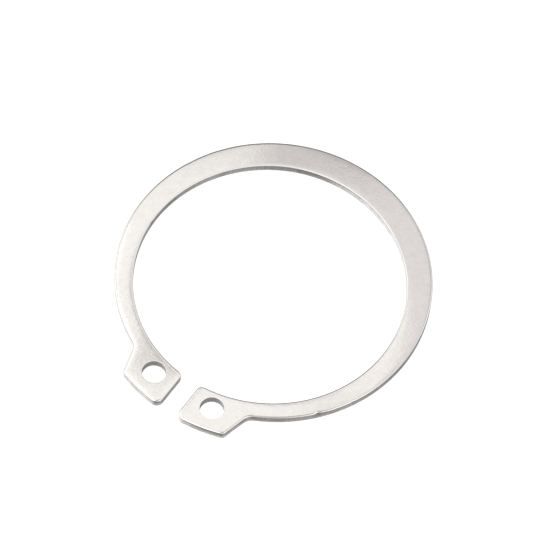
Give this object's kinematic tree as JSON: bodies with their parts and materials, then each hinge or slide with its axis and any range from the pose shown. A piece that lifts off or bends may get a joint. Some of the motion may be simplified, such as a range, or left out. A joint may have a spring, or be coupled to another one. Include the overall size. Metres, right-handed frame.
{
  "type": "external circlip",
  "caption": "Flat, open retaining ring that tapers towards its lugs, snaps into a groove on a shaft and has a plier hole in each lug.",
  "frame": {"origin": "on the bore's axis, in the plane of the lower flat face", "axes": "+Z along the bore's axis, up through the ring's thickness; -Y towards the gap between the lugs; +X towards the right-hand lug seen from above with the gap at the bottom"},
  "size_m": [0.0518, 0.0559, 0.0015],
  "materials": {
    "ring_steel": "bright satin, tumbled, with softly rounded edges"
  },
  "bodies": {
    "root": {"circlip": "ring_steel"}
  },
  "joints": []
}
